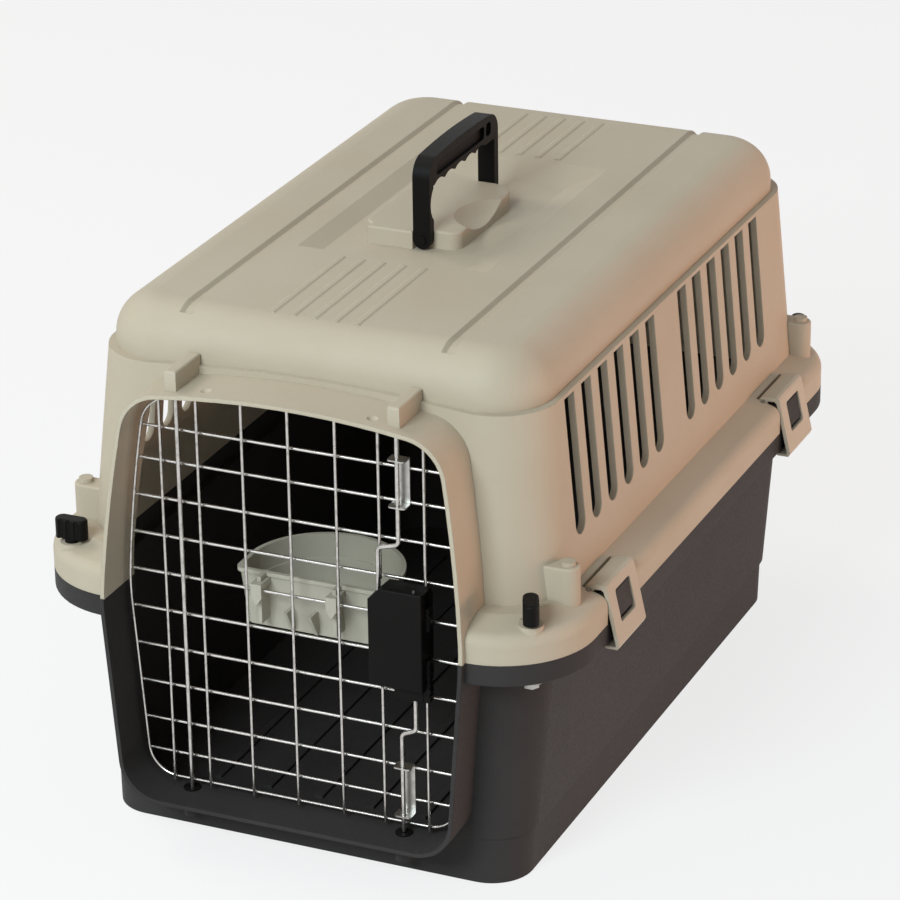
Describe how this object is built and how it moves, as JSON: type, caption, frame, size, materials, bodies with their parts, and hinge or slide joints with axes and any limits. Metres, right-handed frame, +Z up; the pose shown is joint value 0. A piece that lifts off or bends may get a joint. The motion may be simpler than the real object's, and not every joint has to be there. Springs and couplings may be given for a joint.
{
  "type": "airline dog crate",
  "caption": "Two-part moulded dog crate with a wire door on a two-rod latch, hanging bowl, side clips, wing nuts and a folding carry handle.",
  "frame": {"origin": "on the floor under the middle of the box", "axes": "+Z up, the door faces -Y, +X to the right as seen from the front"},
  "size_m": [0.4158, 0.592, 0.4388],
  "materials": {
    "shell_beige": "fine grained moulding",
    "shell_charcoal": "fine grained moulding",
    "black_plastic": "satin moulding",
    "bowl_beige": "satin moulding",
    "chromed_wire": "bright plated wire",
    "plated_sheet": "folded plated sheet",
    "bolt_steel": "zinc plated",
    "spring_steel": "drawn wire"
  },
  "bodies": {
    "crate": {"bottom_shell": "shell_charcoal", "top_shell": "shell_beige", "sill_bushes": "black_plastic", "handle_pins": "black_plastic", "clip_pins": "bolt_steel", "corner_bolts": "bolt_steel"},
    "door": {"door_grille": "chromed_wire", "hinge_rod": "chromed_wire", "upper_rod_guide": "plated_sheet", "lower_rod_guide": "plated_sheet", "latch_cover": "black_plastic", "latch_housing": "black_plastic", "latch_back_plate": "black_plastic", "latch_screws": "bolt_steel", "latch_pin": "bolt_steel"},
    "upper_latch": {"upper_latch_rod": "chromed_wire", "upper_slider": "black_plastic", "upper_spring": "spring_steel"},
    "lower_latch": {"lower_latch_rod": "chromed_wire", "lower_slider": "black_plastic", "lower_spring": "spring_steel"},
    "bowl": {"food_bowl": "bowl_beige"},
    "handle": {"carry_handle": "black_plastic"},
    "clip_front_left": {"clip_front_left": "shell_beige"},
    "clip_rear_left": {"clip_rear_left": "shell_beige"},
    "wing_nut_front_left": {"wing_nut_front_left": "black_plastic"},
    "wing_nut_rear_left": {"wing_nut_rear_left": "black_plastic"},
    "clip_front_right": {"clip_front_right": "shell_beige"},
    "clip_rear_right": {"clip_rear_right": "shell_beige"},
    "wing_nut_front_right": {"wing_nut_front_right": "black_plastic"},
    "wing_nut_rear_right": {"wing_nut_rear_right": "black_plastic"}
  },
  "joints": [
    {"name": "door_hinge", "type": "hinge", "parent": "crate", "child": "door", "pos_m": [-0.0835, -0.2695, 0.034], "axis": [0, 0, -1], "range_deg": [0, 130]},
    {"name": "upper_latch_slide", "type": "slide", "parent": "door", "child": "upper_latch", "axis": [0, 0, 1], "range_m": [0, 0.009], "deforming": ["upper_spring"]},
    {"name": "lower_latch_slide", "type": "slide", "parent": "door", "child": "lower_latch", "axis": [0, 0, -1], "range_m": [0, 0.009], "deforming": ["lower_spring"]},
    {"name": "bowl_lift", "type": "slide", "parent": "door", "child": "bowl", "axis": [0, 0, 1], "range_m": [0, 0.014]},
    {"name": "handle_hinge", "type": "hinge", "parent": "crate", "child": "handle", "pos_m": [0.002, 0.005, 0.378], "axis": [0, 1, 0], "range_deg": [0, 84]},
    {"name": "clip_front_left_hinge", "type": "hinge", "parent": "crate", "child": "clip_front_left", "pos_m": [-0.186, -0.175, 0.205], "axis": [0, 1, 0], "range_deg": [0, 110]},
    {"name": "clip_rear_left_hinge", "type": "hinge", "parent": "crate", "child": "clip_rear_left", "pos_m": [-0.186, 0.1725, 0.205], "axis": [0, 1, 0], "range_deg": [0, 110]},
    {"name": "wing_nut_front_left_turn", "type": "hinge", "parent": "crate", "child": "wing_nut_front_left", "pos_m": [-0.171, -0.265, 0.214], "axis": [0, 0, 1], "continuous": true},
    {"name": "wing_nut_rear_left_turn", "type": "hinge", "parent": "crate", "child": "wing_nut_rear_left", "pos_m": [-0.171, 0.271, 0.214], "axis": [0, 0, 1], "continuous": true},
    {"name": "clip_front_right_hinge", "type": "hinge", "parent": "crate", "child": "clip_front_right", "pos_m": [0.186, -0.175, 0.205], "axis": [0, -1, 0], "range_deg": [0, 110]},
    {"name": "clip_rear_right_hinge", "type": "hinge", "parent": "crate", "child": "clip_rear_right", "pos_m": [0.186, 0.1725, 0.205], "axis": [0, -1, 0], "range_deg": [0, 110]},
    {"name": "wing_nut_front_right_turn", "type": "hinge", "parent": "crate", "child": "wing_nut_front_right", "pos_m": [0.171, -0.265, 0.214], "axis": [0, 0, 1], "continuous": true},
    {"name": "wing_nut_rear_right_turn", "type": "hinge", "parent": "crate", "child": "wing_nut_rear_right", "pos_m": [0.171, 0.271, 0.214], "axis": [0, 0, 1], "continuous": true}
  ],
  "couplings": [
    {"joint": "lower_latch_slide", "follows": "upper_latch_slide", "ratio": 1}
  ]
}
